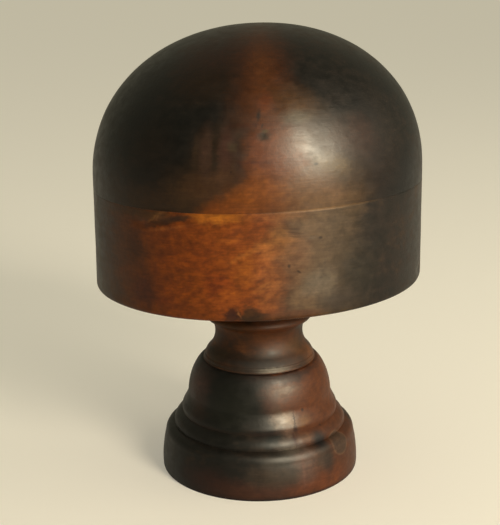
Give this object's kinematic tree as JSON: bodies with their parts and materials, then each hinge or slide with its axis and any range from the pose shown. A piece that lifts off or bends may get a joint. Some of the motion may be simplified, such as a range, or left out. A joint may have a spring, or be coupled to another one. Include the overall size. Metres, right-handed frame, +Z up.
{
  "type": "hat block stand",
  "caption": "Domed wooden hat block on a turned pedestal with a bell foot. The block turns on a loose peg and lifts off it.",
  "frame": {"origin": "centre of the foot's underside, on the surface that the stand rests on", "axes": "+Z up through the peg; +X to the side towards which the block's rim and seam climb; -Y the front"},
  "size_m": [0.1788, 0.1788, 0.2487],
  "materials": {
    "foot_wood": "dark stained hardwood, hand rubbed to a soft shine",
    "neck_wood": "dark stained hardwood, hand rubbed to a soft shine",
    "band_wood": "worn orange-brown varnish over close-grained hardwood",
    "dome_wood": "dark handling patina over close-grained hardwood, semi-gloss",
    "peg_wood": "bare beech, burnished by turning",
    "dowel_wood": "bare beech",
    "wedge_wood": "bare oak"
  },
  "bodies": {
    "stand": {"pedestal_foot": "foot_wood", "pedestal_neck": "neck_wood", "tenon_wedge": "wedge_wood"},
    "peg": {"turning_peg": "peg_wood"},
    "crown": {"crown_band": "band_wood", "crown_dome": "dome_wood", "register_dowel_1": "dowel_wood", "register_dowel_2": "dowel_wood", "register_dowel_3": "dowel_wood", "register_dowel_4": "dowel_wood"}
  },
  "joints": [
    {"name": "crown_turn", "type": "hinge", "parent": "stand", "child": "peg", "pos_m": [0, 0, 0.1], "axis": [0, 0, 1], "continuous": true},
    {"name": "crown_lift", "type": "slide", "parent": "peg", "child": "crown", "axis": [0, 0, 1], "range_m": [0, 0.06]}
  ]
}
